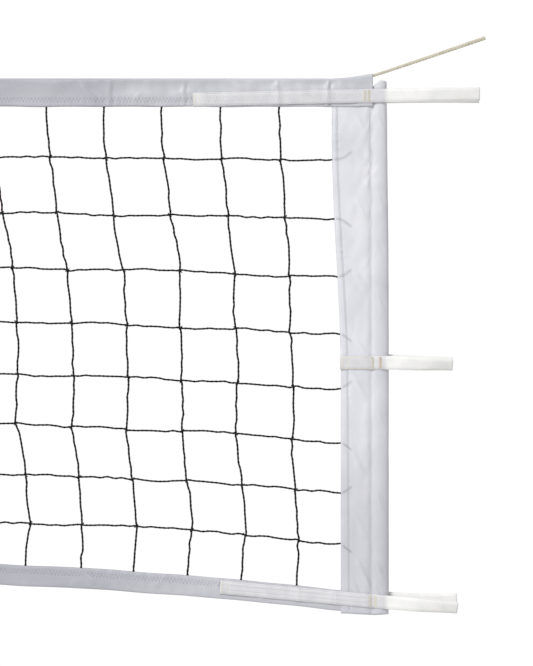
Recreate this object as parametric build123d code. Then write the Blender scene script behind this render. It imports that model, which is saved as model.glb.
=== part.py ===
from build123d import *
import math
import os

# A full-length volleyball net without its poles.
# Millimetres. X runs along the net, Y from its front to its back, Z up.
# The origin is on the axis of the headline rope, half way along the net.

# Whole net
net_length = 9753.6            # 32 ft over both dowel pockets
net_height = 990.6             # 39 in at the corners
half_length = net_length / 2
skin = 0.6                     # coated fabric of every band
seam_thickness = 1.4           # two layers of it, sewn flat
overlap = 1.0                  # pieces that are joined or cut reach this far past the face
corner_share = 0.45            # how much of a cord's shorter run one of its corners takes

# Headline rope
rope_diameter = 6.0
rope_rise_in_band = 9.0        # the band's ends are lifted by the rope
rope_tail_reach = 203.0        # of a free end, along X, past the band's end
rope_tail_rise = 64.6
rope_tail_forward = 43.0
rope_tail_straight = 9.0       # before the free end turns up

# Mesh of twisted twine
twine_diameter = 3.2
mesh_rows = 9
mesh_columns = 95
selvage_from_end = 73.0
selvage_depth = 37.0           # top selvage below the top edge
first_row_step = 107.8
row_step_loss = 1.4            # each row is a little lower than the one above it
corner_drop = 57.0             # how far the bottom edge comes down at the corners
corner_curve = 1000.0          # over this much of the net's length
lean_at_end = 22.0             # how far the first column's top leans outwards
lean_growth = 0.086            # more of it for each millimetre along the net
lean_fade = 1200.0             # and gone by about twice this distance
lean_share_at_top = 0.8
column_groups = 8

# Top band, folded over the rope and the top selvage
top_band_height = 52.0
top_band_from_end = 25.5       # it stops short of the dowel pocket
band_lift_start = 80.0         # from the net's end

# Bottom band, folded under the bottom selvage
bottom_band_height = 38.1      # 1.5 in
bottom_band_lowest = 984.0     # its lower edge at the corners, below the top edge
bottom_end_length = 4.0        # its closed end, tucked into the side band
bottom_end_foot = 3.2          # that end's lower and upper limit, above the band's lower edge
bottom_end_head = 27.9

# Side bands with their dowel pockets
side_band_width_top = 101.0
side_band_width_bottom = 84.5
side_band_seam = 29.0          # from the net's end: where the flat part stops
side_band_seam_width = 8.0
side_tongue_from_selvage = 4.0  # the sewn tongue at its head, under the top band
side_tongue_depth = 6.0
side_tongue_overlap = 2.0
pocket_radius = 8.4
pocket_forward = 0.6           # the pocket stands this far before the sewn seam
pocket_top_depth = 3.0
pocket_bottom_depth = 988.5
pocket_floor = 1.0
dowel_diameter = 12.7          # 1/2 in
dowel_top_depth = 8.0
dowel_end_chamfer = 1.0

# Tie straps of 1 in webbing
webbing_width = 25.4
webbing_thickness = 1.5
hinge_from_end = 8.0           # a tail bends this far outside the pocket
hinge_gap = 0.6
running_gap = 0.3
strap_leaves_band = 35.0       # from the net's end: where a back strap turns out round the pocket
cord_overrun = 2.0             # past the cord that it is knotted to

# Places that follow from these
rope_radius = rope_diameter / 2
twine_radius = twine_diameter / 2
rope_slack = 0.1
top_edge = rope_radius + rope_slack + skin
mesh_y = 1.5                                   # between the rows and the columns
row_y = mesh_y - twine_radius
column_y = mesh_y + twine_radius
cavity_front = mesh_y - twine_diameter - rope_slack
cavity_back = mesh_y + twine_diameter + rope_slack
band_front = cavity_front - skin
band_back = cavity_back + skin
top_cavity_front = -rope_radius - rope_slack
top_band_front = top_cavity_front - skin
seam_front = mesh_y - seam_thickness / 2
seam_back = mesh_y + seam_thickness / 2
selvage_x = half_length - selvage_from_end
mesh_pitch = 2 * selvage_x / mesh_columns
band_end_x = half_length - top_band_from_end
band_turn_x = half_length - band_lift_start
pocket_x = half_length - pocket_radius
pocket_y = mesh_y - seam_thickness / 2 - pocket_forward + pocket_radius
bore_radius = pocket_radius - skin
hinge_x = half_length + hinge_from_end
tall = 3 * net_height                          # taller than anything it cuts


def level(depth):
    """Height of a line that lies this far below the net's top edge."""
    return top_edge - depth


def drop_at(distance):
    """How far the bottom edge has come down, at this distance from a side selvage."""
    if distance >= corner_curve:
        return 0.0
    return corner_drop * (1 - distance / corner_curve) ** 2


def row_level(row):
    """Height of a row of the mesh along the middle of the net; row 0 is the top selvage."""
    return level(selvage_depth + first_row_step * row - row_step_loss * row**2)


def lean_at(distance):
    """How far a column's top stands further from the middle than its foot does."""
    return (lean_at_end + lean_growth * distance) * math.exp(-((distance / lean_fade) ** 3))


def slab(outline, front, back):
    """A flat piece with this outline in X and Z, between two Y values."""
    wire = Polyline(*[(x, back, z) for x, z in outline], close=True)
    return extrude(make_face(wire), amount=back - front, dir=(0, -1, 0))


def corner_radii(points):
    """The radius at each corner of a cord's route, as large as its two runs allow."""
    radii = []
    for before, corner, after in zip(points, points[1:], points[2:]):
        run_in = Vector(*corner) - Vector(*before)
        run_out = Vector(*after) - Vector(*corner)
        half_turn = math.radians(run_in.get_angle(run_out)) / 2
        radii.append(corner_share * min(run_in.length, run_out.length) / math.tan(half_turn))
    return radii


def cord(name, points, diameter):
    """A round cord of straight runs joined by tangent arcs."""
    radii = corner_radii(points)
    path = FilletPolyline(*points, radius=radii) if radii else Line(*points)
    section = Plane(origin=path @ 0, z_dir=path % 0) * Circle(diameter / 2)
    solid = sweep(section, path=path)
    expected = math.pi * diameter**2 / 4 * path.length
    print(name, "length", round(path.length, 1), "radii", [round(radius, 1) for radius in radii],
          "volume against section x length", round(solid.volume / expected, 4))
    return solid


def mirrored(points):
    """A route from its right half: the same points on the left first, then on the right."""
    return [(-x, y, z) for x, y, z in reversed(points)] + points


def write(name, shape):
    """Write one node."""
    shape.label = name
    export_step(shape, f"parts/{name}.step")


def flip(shape):
    """The left-hand copy of a right-hand piece."""
    return mirror(shape, about=Plane.YZ)


# Headline rope


def headline_route():
    """Right half of the rope's run inside the band."""
    return [(band_turn_x, 0, 0), (band_end_x, 0, rope_rise_in_band)]


def rope_tail_route():
    """Right free end: straight out of the band, then up and a little forwards."""
    slope = rope_rise_in_band / (band_end_x - band_turn_x)
    return [
        (band_end_x, 0, rope_rise_in_band),
        (band_end_x + rope_tail_straight, 0, rope_rise_in_band + rope_tail_straight * slope),
        (band_end_x + rope_tail_reach, -rope_tail_forward, rope_rise_in_band + rope_tail_rise),
    ]


def make_rope():
    write("headline_rope", cord("headline_rope", mirrored(headline_route()), rope_diameter))
    tail = cord("headline_tail", rope_tail_route(), rope_diameter)
    write("headline_tail_right", tail)
    write("headline_tail_left", flip(tail))


# Bands


def band_slab(high, low, front, back):
    """A long flat piece between an upper and a lower line, between two Y values."""
    edges = [Line(high[0], low[0]), Line(high[-1], low[-1])]
    for line in (high, low):
        radii = corner_radii(line)
        edges.append(FilletPolyline(*line, radius=radii) if radii else Line(*line))
    return Pos(0, back, 0) * extrude(make_face(edges), amount=back - front, dir=(0, -1, 0))


def raised(points, height):
    """The same line, this much higher."""
    return [(x, y, z + height) for x, y, z in points]


def make_top_band():
    rope = mirrored(headline_route())
    foot = [(-band_end_x, 0, level(top_band_height)), (band_end_x, 0, level(top_band_height))]
    body = band_slab(raised(rope, top_edge), foot, top_band_front, band_back)
    ceiling = raised(rope, top_edge - skin)
    cavity = band_slab(ceiling, raised(foot, -skin), top_cavity_front, cavity_back)
    write("top_band", body - cavity)


def inner_edge(depth):
    """X of the side band's inner edge at this depth; the band is narrower at its foot."""
    narrowing = (side_band_width_top - side_band_width_bottom) * depth / net_height
    return half_length - side_band_width_top + narrowing


def foot_line(end_x, height):
    """The bottom band's lower edge, or a line this much above it, between its two ends."""
    turn_x = selvage_x - corner_curve / 2
    corner_z = level(bottom_band_lowest) + height
    middle_z = corner_z + corner_drop
    slope = corner_drop / (selvage_x - turn_x)
    return mirrored([(turn_x, 0, middle_z), (end_x, 0, middle_z - slope * (end_x - turn_x))])


def make_bottom_band():
    end_x = inner_edge(bottom_band_lowest - bottom_band_height) - running_gap
    tongue_end = half_length - side_band_seam - side_band_seam_width - running_gap
    wall_x = end_x - bottom_end_length
    low_z = level(bottom_band_lowest) + bottom_end_foot
    high_z = level(bottom_band_lowest) + bottom_end_head
    closed = [(wall_x, low_z), (end_x, low_z), (end_x, high_z), (wall_x, high_z)]
    tucked = [(wall_x, low_z), (tongue_end, low_z), (tongue_end, high_z), (wall_x, high_z)]
    end = slab(closed, band_front, band_back) + slab(tucked, seam_front, seam_back)
    band = band_slab(foot_line(end_x, bottom_band_height), foot_line(end_x, 0),
                     band_front, band_back)
    cavity = band_slab(foot_line(end_x, bottom_band_height + skin), foot_line(end_x, skin),
                       cavity_front, cavity_back)
    write("bottom_band", band - cavity + end + flip(end))


def side_band_right():
    """Two layers round the side selvage, sewn together, then looped round the dowel."""
    head_depth = top_band_height + running_gap
    head = level(head_depth)
    foot = level(net_height)
    seam_x = half_length - side_band_seam
    head_x = inner_edge(head_depth)
    foot_x = inner_edge(net_height)
    flat = slab([(head_x, head), (seam_x, head), (seam_x, foot), (foot_x, foot)],
                band_front, band_back)
    hollow_end = seam_x - side_band_seam_width
    hollow = slab([(head_x - overlap, head + overlap), (hollow_end, head + overlap),
                   (hollow_end, foot + skin), (foot_x - overlap, foot + skin)],
                  cavity_front, cavity_back)
    tongue_x = selvage_x + side_tongue_from_selvage
    tongue_head = level(side_tongue_depth)
    tongue_foot = head - side_tongue_overlap
    sewn_x = hollow_end + overlap
    tongue = slab([(tongue_x, tongue_head), (seam_x, tongue_head), (seam_x, tongue_foot),
                   (sewn_x, tongue_foot), (sewn_x, head), (tongue_x, head)],
                  seam_front, seam_back)
    pocket_head = level(pocket_top_depth)
    pocket_foot = level(pocket_bottom_depth)
    seam_start = seam_x - overlap
    seam_end = pocket_x - pocket_radius / 2
    seam_foot = pocket_foot + overlap
    seam = slab([(seam_start, tongue_head), (seam_end, tongue_head),
                 (seam_end, seam_foot), (seam_start, seam_foot)],
                seam_front, seam_back)
    centre = Pos(pocket_x, pocket_y, 0)
    height = pocket_head - pocket_foot
    tube = centre * Pos(0, 0, pocket_foot + height / 2) * Cylinder(pocket_radius, height)
    bore = centre * Pos(0, 0, pocket_foot + pocket_floor + tall / 2) * Cylinder(bore_radius, tall)
    return flat - hollow + tongue + seam + tube - bore


def make_side_bands():
    right = side_band_right()
    write("side_band_right", right)
    write("side_band_left", flip(right))


def make_dowels():
    foot = level(pocket_bottom_depth) + pocket_floor + running_gap
    length = level(dowel_top_depth) - foot
    dowel = Pos(pocket_x, pocket_y, foot + length / 2) * Cylinder(dowel_diameter / 2, length)
    rims = dowel.edges().filter_by(GeomType.CIRCLE)
    dowel = chamfer(rims, dowel_end_chamfer)
    write("dowel_right", dowel)
    write("dowel_left", flip(dowel))


# Mesh


def row_route(row):
    """A row's route: level along the middle, coming down with the net's foot at the ends."""
    share = row / mesh_rows
    turn_x = selvage_x - corner_curve / 2
    middle = (turn_x, row_y, row_level(row))
    end = (selvage_x + cord_overrun, row_y, row_level(row) - corner_drop * share)
    return mirrored([middle, end])


def make_rows():
    selvage_ends = [(side * (selvage_x + cord_overrun), row_y, row_level(0)) for side in (-1, 1)]
    write("top_selvage", cord("top_selvage", selvage_ends, twine_diameter))
    for row in range(1, mesh_rows):
        name = f"net_row_{row}"
        write(name, cord(name, row_route(row), twine_diameter))
    write("bottom_selvage", cord("bottom_selvage", row_route(mesh_rows), twine_diameter))


def column(number):
    """One vertical cord, counted from the right selvage; near the ends its top leans out."""
    x = selvage_x - number * mesh_pitch
    side = 1 if x >= 0 else -1
    distance = selvage_x - abs(x)
    lean = lean_at(distance)
    head_x = x - side * lean * lean_share_at_top
    foot_x = x + side * lean * (1 - lean_share_at_top)
    head_z = row_level(0) + cord_overrun
    foot_z = row_level(mesh_rows) - drop_at(distance) - cord_overrun
    along = Vector(foot_x - head_x, 0, foot_z - head_z)
    start = Plane(origin=(head_x, column_y, head_z), z_dir=along)
    return Solid.make_cylinder(twine_radius, along.length, start)


def make_columns():
    inner = list(range(1, mesh_columns))
    size = math.ceil(len(inner) / column_groups)
    for group in range(column_groups):
        members = inner[group * size:(group + 1) * size]
        write(f"net_columns_{group + 1}", Compound(children=[column(number) for number in members]))


def make_side_selvages():
    head_z = row_level(0) + cord_overrun
    foot_z = row_level(mesh_rows) - corner_drop - cord_overrun
    ends = [(selvage_x, column_y, head_z), (selvage_x, column_y, foot_z)]
    selvage = cord("side_selvage", ends, twine_diameter)
    write("side_selvage_right", selvage)
    write("side_selvage_left", flip(selvage))


# Tie straps. Each is one length of webbing: a sewn part on the net, and a free tail.
# Values for each height: where it starts and its middle's depth there, at the bend and at its
# end, how long the tail is, and the front face that it is sewn to.

ties = {
    "top": dict(start=357.6, start_depth=39.3, bend_depth=31.5, end_depth=28.5, tail=164.0,
                front=top_band_front),
    "middle": dict(start=86.0, start_depth=524.5, bend_depth=524.5, end_depth=528.0, tail=114.0,
                   front=band_front),
    "bottom": dict(start=307.7, start_depth=940.5, bend_depth=969.0, end_depth=977.0, tail=123.0,
                   front=band_front),
}


def strap(plan, x_start, depth_start, x_end, depth_end):
    """Webbing with this outline from above, its edges running from one depth to the other."""
    half = webbing_width / 2
    outline = [
        (x_start, level(depth_start) - half), (x_end, level(depth_end) - half),
        (x_end, level(depth_end) + half), (x_start, level(depth_start) + half),
    ]
    block = Pos(0, 0, -tall / 2) * extrude(plan, amount=tall)
    return block & slab(outline, -tall, tall)


def sewn_plan(tie, face):
    """A sewn strap seen from above. The back one also goes round the dowel pocket."""
    start_x = half_length - tie["start"]
    end_x = hinge_x - webbing_thickness / 2 - hinge_gap
    outer_y = tail_middle_y(tie, face)
    if face == "front":
        return trace(Line((start_x, outer_y), (end_x, outer_y)), line_width=webbing_thickness)
    leave = Vector(half_length - strap_leaves_band, band_back + webbing_thickness / 2)
    to_pocket = Vector(pocket_x, pocket_y) - leave
    round_radius = outer_y - pocket_y
    climb = math.atan2(to_pocket.Y, to_pocket.X) + math.asin(round_radius / to_pocket.length)
    over = Vector(leave.X + (outer_y - leave.Y) / math.tan(climb), outer_y)
    route = [(start_x, leave.Y), leave, over, (end_x, outer_y)]
    leaving_radius = 2 * round_radius
    path = FilletPolyline(*route, radius=[leaving_radius, round_radius])
    return trace(path, line_width=webbing_thickness)


def tail_middle_y(tie, face):
    """The Y of a tail's middle, which is also where its hinge is."""
    half = webbing_thickness / 2
    if face == "front":
        return tie["front"] - half
    return pocket_y + pocket_radius + running_gap + half


def tail_plan(tie, face):
    """A free tail seen from above, its inner end rounded about the hinge."""
    middle_y = tail_middle_y(tie, face)
    straight = Pos(hinge_x + tie["tail"] / 2, middle_y) * Rectangle(tie["tail"], webbing_thickness)
    return straight + Pos(hinge_x, middle_y) * Circle(webbing_thickness / 2)


def make_ties():
    for height, tie in ties.items():
        for face in ("front", "back"):
            sewn = strap(sewn_plan(tie, face), half_length - tie["start"], tie["start_depth"],
                         hinge_x, tie["bend_depth"])
            tail_end = hinge_x + tie["tail"]
            slope = (tie["end_depth"] - tie["bend_depth"]) / tie["tail"]
            inner = hinge_x - webbing_thickness
            tail = strap(tail_plan(tie, face), inner, tie["bend_depth"] - slope * webbing_thickness,
                         tail_end, tie["end_depth"])
            name = f"tie_{height}_{face}"
            write(f"{name}_right", sewn)
            write(f"{name}_left", flip(sewn))
            write(f"{name}_tail_right", tail)
            write(f"{name}_tail_left", flip(tail))


os.makedirs("parts", exist_ok=True)
make_rope()
make_top_band()
make_bottom_band()
make_side_bands()
make_dowels()
make_rows()
make_columns()
make_side_selvages()
make_ties()
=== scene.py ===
import math
import random

import bmesh
import bpy
import numpy as np
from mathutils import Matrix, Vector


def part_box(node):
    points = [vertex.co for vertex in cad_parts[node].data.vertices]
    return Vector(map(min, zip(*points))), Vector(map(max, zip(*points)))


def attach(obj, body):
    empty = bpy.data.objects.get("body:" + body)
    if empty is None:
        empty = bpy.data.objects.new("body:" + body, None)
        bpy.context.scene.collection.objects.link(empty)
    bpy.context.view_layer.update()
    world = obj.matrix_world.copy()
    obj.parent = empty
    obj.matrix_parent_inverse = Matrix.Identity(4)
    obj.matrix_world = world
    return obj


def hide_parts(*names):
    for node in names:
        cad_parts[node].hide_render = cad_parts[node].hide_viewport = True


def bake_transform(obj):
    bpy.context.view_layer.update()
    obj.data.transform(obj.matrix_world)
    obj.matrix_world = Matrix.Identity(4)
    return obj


# A volleyball net without its poles. Metres, in the CAD frame: X along the net, Y from its front
# to its back, Z up. The origin is on the headline rope's axis, half way along the net.

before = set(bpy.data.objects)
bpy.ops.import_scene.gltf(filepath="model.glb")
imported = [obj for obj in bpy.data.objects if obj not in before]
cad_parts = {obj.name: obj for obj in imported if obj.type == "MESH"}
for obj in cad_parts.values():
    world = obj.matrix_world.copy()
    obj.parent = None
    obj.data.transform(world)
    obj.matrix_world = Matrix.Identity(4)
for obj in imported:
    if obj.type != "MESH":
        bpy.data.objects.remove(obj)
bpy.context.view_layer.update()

# Whole net
half_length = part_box("side_band_right")[1].x
rope_rise = 0.009                              # how far the rope lifts the top band's ends
top_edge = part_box("top_band")[1].z - rope_rise
skin = 0.0006                                  # coated fabric of the bands
side_names = {1: "right", -1: "left"}
fine_reach = 0.62                              # bands have small faces this far from the net's ends,
fine_fade = (0.58, 0.64)                       # and their fine detail fades out between these

# Mesh of twisted twine
twine_radius = 0.0019
column_radius = 0.00205                        # the cords running down lie a little looser
selvage_radius = 0.0014                        # the same twine, pulled tight inside the bands
mesh_rows = 9
mesh_columns = 95
selvage_depth = 0.037
first_row_step = 0.1078
row_step_loss = 0.0014
selvage_x = half_length - 0.073
mesh_pitch = 2 * selvage_x / mesh_columns
row_y = -0.0001
column_y = 0.0031
corner_drop = 0.057
corner_curve = 1.0
lean_at_end = 0.022
lean_growth = 0.086
lean_fade = 1.2
column_sway = (0.82, 0.71, 0.46, 0.14, 0.08, 0.01, 0.04, -0.20, -0.31, -0.20)
column_groups = 8
crossing_play = 0.0026                         # how unevenly the crossings lie
cord_overrun = 0.002
cord_bow = 0.0028                              # at most, between two crossings
cord_wander = 0.0014                           # smaller bends, one every few steps
wander_steps = 5
cord_drawn_in = 0.0009                         # between crossings the cords lie closer together
knot_step = (0.0006, 0.0016)                   # how far a cord is pushed aside where it is crossed
knot_reach = 0.004
knot_fade = 4.0
wrap_radius = 0.0011                           # the short turn of twine that locks a crossing
wrap_reach = 0.0028
wrap_layers = (0.0042, 0.0002, -0.0018)        # Y behind, beside and in front of the cords
twine_step = 0.0027                            # between the rings of faces
twine_sides = 6
twine_lay = 0.016                              # one full turn of the twist
twine_lobe = 0.11                              # how far its two plies stand out
crossing_seed = 11
row_bow_seed, row_wander_seed, wrap_seed = 100, 200, 300
column_bow_seed, column_wander_seed = 400, 500

# Headline rope's free ends
rope_diameter = 0.006
rope_route = ((4.8513, 0, 0.009), (4.8603, 0, 0.010486), (5.0543, -0.043, 0.0736))
rope_tail_length = 0.218
rope_lay = 0.019
rope_ring_step = 0.0012
rope_pulled_thin = 0.84                        # its thickness at the band, and at its free end
rope_opened_out = 1.12
strand_count = 3
strand_reach = 0.55                            # of the rope's radius, from its axis
strand_radius = 0.56                           # of the rope's radius
strand_sides = 8

# Top band
top_band_height = 0.052
top_band_from_end = 0.0255
top_fold_radius = 0.0037
rise_length = 0.0545
rise_easing = 0.45                             # share of it that is a curve
top_seam_depth = 0.0395
top_front_line = (                             # its plain front: depth, Y
    (top_fold_radius, -top_fold_radius), (0.012, -0.0036), (0.036, -0.0035), (0.046, -0.0034),
    (top_band_height, -0.0031),
)
top_back_line = (
    (top_fold_radius, top_fold_radius), (0.012, 0.0043), (0.030, 0.0054), (top_band_height, 0.0054),
)
top_relief_starts = (0.002, 0.010)             # folds and ripples begin below the rounded edge
top_notch_width = 0.0030
top_sinks = (0.0040, 0.0012, 0.0001)           # at most: above the mesh, over it, over a side band
mesh_under_top_band = (0.028, 0.034)
side_band_under_top_band = (0.034, 0.042)
side_band_front_ends = (0.104, 0.112)          # from the net's end
side_band_back_head = (0.032, 0.040)
side_band_back_ends = (0.094, 0.112)
top_steps = (0.0027, 0.014)                    # along it, near its ends and between
top_rows = (15, 10)                            # of points, down a side and round the fold

# Bottom band
bottom_band_height = 0.0381
bottom_band_lowest = 0.984
bottom_fold_radius = 0.0039
bottom_seam_height = 0.0275                    # above its lower edge
bottom_band_tucked = 0.072                     # from the net's end: where it stops inside the side band
bottom_front_line = (                          # its plain front: height over its foot, Y
    (0, 0), (bottom_fold_radius, -0.0024), (0.030, -0.0027), (bottom_band_height, -0.0026),
)
bottom_back_y = 0.0055
bottom_fold_y = 0.0016
bottom_relief_starts = (0.002, 0.008)
bottom_relief_from_end = (0.080, 0.090)        # it is flat where the side band holds it
bottom_edge_from_end = (0.080, 0.100)
bottom_sinks = 0.0004
bottom_steps = (0.004, 0.012)
bottom_rows = (12, 9)
back_sinks = 0.0002                            # at most, on either band's back

# Side bands
side_inner_top = 0.101                         # from the net's end to the band's inner edge
side_inner_bottom = 0.0845
side_band_head = 0.044                         # its flat part is tucked under the top band
side_seam_inset = (0.0085, 0.0145)             # of its zigzag seam from that edge, at head and foot
sleeve_slack = 0.0042                          # the pocket is looser towards its foot
sleeve_slack_grows = (-0.1, 0.45)
pocket_seam = 0.0265
pocket_from_end = 0.0084
overlap_bulge = 0.0008                         # where one band goes over another
side_narrows = (0.10, 0.56)                    # depths between which it becomes narrower
side_flat_part = 0.031                         # from here inwards it is tucked under the top band
side_under_top_band = (0.052, 0.068)
side_flat_starts = (0.022, 0.027)
side_narrow_part = 0.060                       # only from here inwards
side_relief_limits = (0.0012, 0.0001, 0.0030)  # sinks at most, off the mesh and over it, and rises
over_the_mesh = (0.054, 0.066)
pocket_head = (0.0035, 0.0028, 0.0030)         # depth of its open end: at its middle, slope, least
side_foot = (                                  # from the net's end, depth
    (0, 0.9884), (0.008, 0.9898), (0.022, 0.9905), (0.082, 0.9876),
)
foot_closing = 0.0019                          # its foot is sewn shut over this height
foot_closed = 0.97
foot_middle_y = 0.0018
foot_overlap = (0.925, 0.945)                  # depths between which it starts to cover the bottom band
foot_overlap_inner = (0.050, 0.066)
back_relief_share = 0.6                        # its back has the same folds, lower and shifted up
back_relief_shift = 0.031
side_rows = 88
side_steps = 400

# Ties
webbing_width = 0.0254
webbing_thickness = 0.0015
ties = {
    "top": dict(start=0.3576, depths=(0.0393, 0.0315, 0.0285), tail=0.164,
                twist=20, back_lift=(0.0, 0.0), back_end=-0.0030),
    "middle": dict(start=0.0860, depths=(0.5245, 0.5245, 0.5292), tail=0.114,
                   twist=38, back_lift=(0.0025, 0.0025), back_end=0.0),
    "bottom": dict(start=0.3077, depths=(0.9380, 0.9672, 0.9775), tail=0.123,
                   twist=34, back_lift=(0.0054, 0.0054), back_end=0.0095),
}
hinge_past_end = 0.008
strap_step = 0.003
strap_gap = 0.0003                             # between a front strap and the band under it
strap_bridges_top = 0.0300                     # it stays this high past here, towards the net's end
strap_bridges_side = 0.0125
strap_reach_across = (-0.010, 0, 0.010)        # it lies on the highest of these places across it
front_settling, back_settling = 5, 3           # steps over which a strap smooths what is under it
back_strap_starts = 0.045
back_strap_gap = 0.0004
back_lift_between = (-0.012, 0.006)            # past the net's end
twist_starts = 0.010
tail_waves = 1.6                               # half waves of curl along a tail
backed_until = (-0.006, 0.004)                 # past the net's end: cloth lies behind the webbing
back_twist = 6
tail_curl = 0.0022
under_end = dict(length=0.018, fade=0.004, thicker=0.25)  # a strap's sewn end is folded under
back_route = (                                 # of a back strap round the pocket: from the end, Y
    (0.0, 0.01805), (0.0084, 0.0181), (0.0150, 0.0172), (0.0215, 0.0140), (0.0290, 0.0092),
    (0.0370, 0.0074), (0.0450, 0.0073),
)

# Thread
thread_radius = 0.00032
fine_thread_radius = 0.00026
doubled_thread_radius = 0.00040
zigzag_pitch = 0.0064
zigzag_height = 0.0095
side_zigzag_pitch = 0.0050
side_zigzag_height = 0.0045
running_stitch = 0.0045
stitch_step = 0.0011                           # between a running seam's points
stitch_dip = 0.0004                            # how deep it sinks where it enters the webbing
top_seam_ends = 0.100                          # the bands' seams stop this far from the net's end
bottom_seam_ends = 0.092
side_seam_run = (0.053, 0.980)
edge_seam_inset = 0.0022                       # of a strap's edge seams
edge_seam_ends = 0.0240
box_places = (0.0015, 0.0050, 0.0130)          # its lines across, from the strap's sewn end
box_points = 25
band_seam_half = 0.0052                        # of the top band's seam, where it runs over a strap
band_seam_over_strap = (0.019, 0.045)          # from the strap's sewn end, from the net's end
bottom_band_seams = (-0.0050, 0.0035)          # the lines over the bottom strap, off its middle
bartack_places = {"top": (0.0405, 0.0330), "middle": (0.0262, 0.0118), "bottom": (0.0305, 0.0210)}
bartack_half = 0.0026
bartack_pitch = 0.0026

# Cloth of the bands. Ripples are soft sine waves, puckers run along the seams, creases cross a band,
# and folds go from one place to another. Places are from the net's end and down from its top edge,
# or on the bottom band up from its foot.
top_ripples = dict(seed=21, length=0.110, height=0.0008)
top_fine_ripples = dict(seed=22, length=0.030, height=0.00045)
top_edge_ripples = dict(seed=31, length=0.16, height=0.0005)
bottom_ripples = dict(seed=41, length=0.100, height=0.0006)
bottom_fine_ripples = dict(seed=42, length=0.028, height=0.0004)
bottom_edge_ripples = dict(seed=44, length=0.14, height=0.0006)
side_ripples = dict(seed=51, length=0.085, height=0.0006)
side_fine_ripples = dict(seed=52, length=0.030, height=0.00022)
pucker_pitch = 0.0125
pucker_drift = dict(length=0.08, height=1.5)
top_puckers = dict(seed=23, pull=(0.0003, 0.008), groove=(0.0005, 0.0055))   # height, width
bottom_puckers = dict(seed=43, pull=(0.0003, 0.007), groove=(0.0005, 0.0050))
side_puckers = dict(seed=53, pull=(0.0004, 0.006), groove=(0.0006, 0.0035))
pocket_swell_drift = dict(seed=54, length=0.10, height=2.0)  # drifts are of a wave's phase
pocket_swell_pitch = 0.041                     # soft swells beside the pocket's seam
pocket_swell_height = 0.0007
pocket_swell_places = ((0.0350, 0.0045), (0.0185, 0.0040))
pocket_swell_top = (0.120, 0.120)              # strongest at this depth, over this length
pocket_swell_least = 0.6
pocket_edge_drift = dict(seed=55, length=0.12, height=1.5)
pocket_edge_pitch = 0.055                      # the pocket's seam weaves from side to side
pocket_edge_weave = 0.0013
pocket_edge_width = 0.007
pocket_edge_top = (0.110, 0.110)
pocket_edge_least = 0.4
pocket_calm = 0.4                              # the round pocket has weaker folds than the flat part
pocket_calm_fade = (0.024, 0.042)
crease_wander = 0.0014
crease_wander_length = 0.026
crease_phase = 90                              # so that no two creases wander alike
crease_valley, crease_ridge = 0.6, 0.7         # shares of its height: a valley with a ridge beside it
ridge_beside, ridge_width = 1.9, 1.2           # in widths of the crease
crease_notch = 0.0006                          # the sharpest one dents the upper edge

# Colour of the bands: what is behind the cloth, stains, and painted shade where the lamp's light falls off,
# 0 to 1
# the bands grow greyer between these distances from the net's end: painted shade where the lamp's light
# falls off
painted_falloff_fade = (0.28, 0.58)
top_grey_and_painted_falloff = (0.39, 0.64)                     # near the net's end, and further in
bottom_grey_and_painted_falloff = (0.50, 0.74)
top_stains = dict(seed=33, length=0.20, height=0.05)
bottom_stains = dict(seed=46, length=0.20, height=0.05)
rope_shade = 0.10
rope_shade_depth = 0.006
twine_shade_strength = 0.55
twine_shade_width = 0.0023
twine_shade_ridge = 0.0003                     # the twine's ends also press through a little
row_end_hook = 0.013                           # the rows' ends turn up or down beside the selvage
row_end_hook_length = 0.026
row_end_hook_starts = 0.020                    # inwards from the selvage
row_ends_seen = (0.062, 0.068)
row_shade_stops = (0.001, 0.005)               # before the side band's inner edge
pocket_shade = (0.06, 0.15)                    # the whole pocket, and more about its middle
pocket_shade_middle = (-0.42, 0.25)
side_darkening = (0.05, 0.33)                       # grey on the whole side band, darker towards its foot
side_darkening_fade = (0.52, 0.88)

# Creases and folds of the bands
top_creases = (                                # across the band: from the net's end, height, width
    (0.1035, 0.0038, 0.0028), (0.1960, 0.0018, 0.0030), (0.3690, 0.0016, 0.0030),
    (0.5050, 0.0014, 0.0035),
)
fold_strength = 1.7
top_folds = (                                  # each fold: start, end, width, height
    ((0.566, 0.012), (0.530, 0.048), 0.0040, 0.0020),
    ((0.552, 0.010), (0.514, 0.040), 0.0035, -0.0009),
    ((0.470, 0.046), (0.446, 0.020), 0.0040, 0.0004),
    ((0.376, 0.006), (0.360, 0.026), 0.0040, -0.0010),
    ((0.362, 0.005), (0.349, 0.024), 0.0030, 0.0006),
    ((0.346, 0.024), (0.318, 0.055), 0.0035, 0.0012),
    ((0.300, 0.004), (0.262, 0.020), 0.0040, 0.0010),
    ((0.212, 0.018), (0.182, 0.002), 0.0045, 0.0009),
    ((0.150, 0.004), (0.128, 0.024), 0.0040, -0.0010),
    ((0.094, 0.004), (0.070, 0.024), 0.0035, 0.0012),
    ((0.060, 0.002), (0.032, 0.020), 0.0035, 0.0013),
)
bottom_folds = (
    ((0.562, 0.030), (0.520, 0.004), 0.0040, 0.0011),
    ((0.440, 0.006), (0.404, 0.034), 0.0040, 0.0009),
    ((0.330, 0.036), (0.300, 0.008), 0.0040, 0.0012),
    ((0.250, 0.002), (0.206, 0.020), 0.0045, 0.0010),
    ((0.180, 0.034), (0.146, 0.010), 0.0040, 0.0010),
    ((0.110, 0.034), (0.086, 0.004), 0.0035, 0.0013),
)
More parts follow.
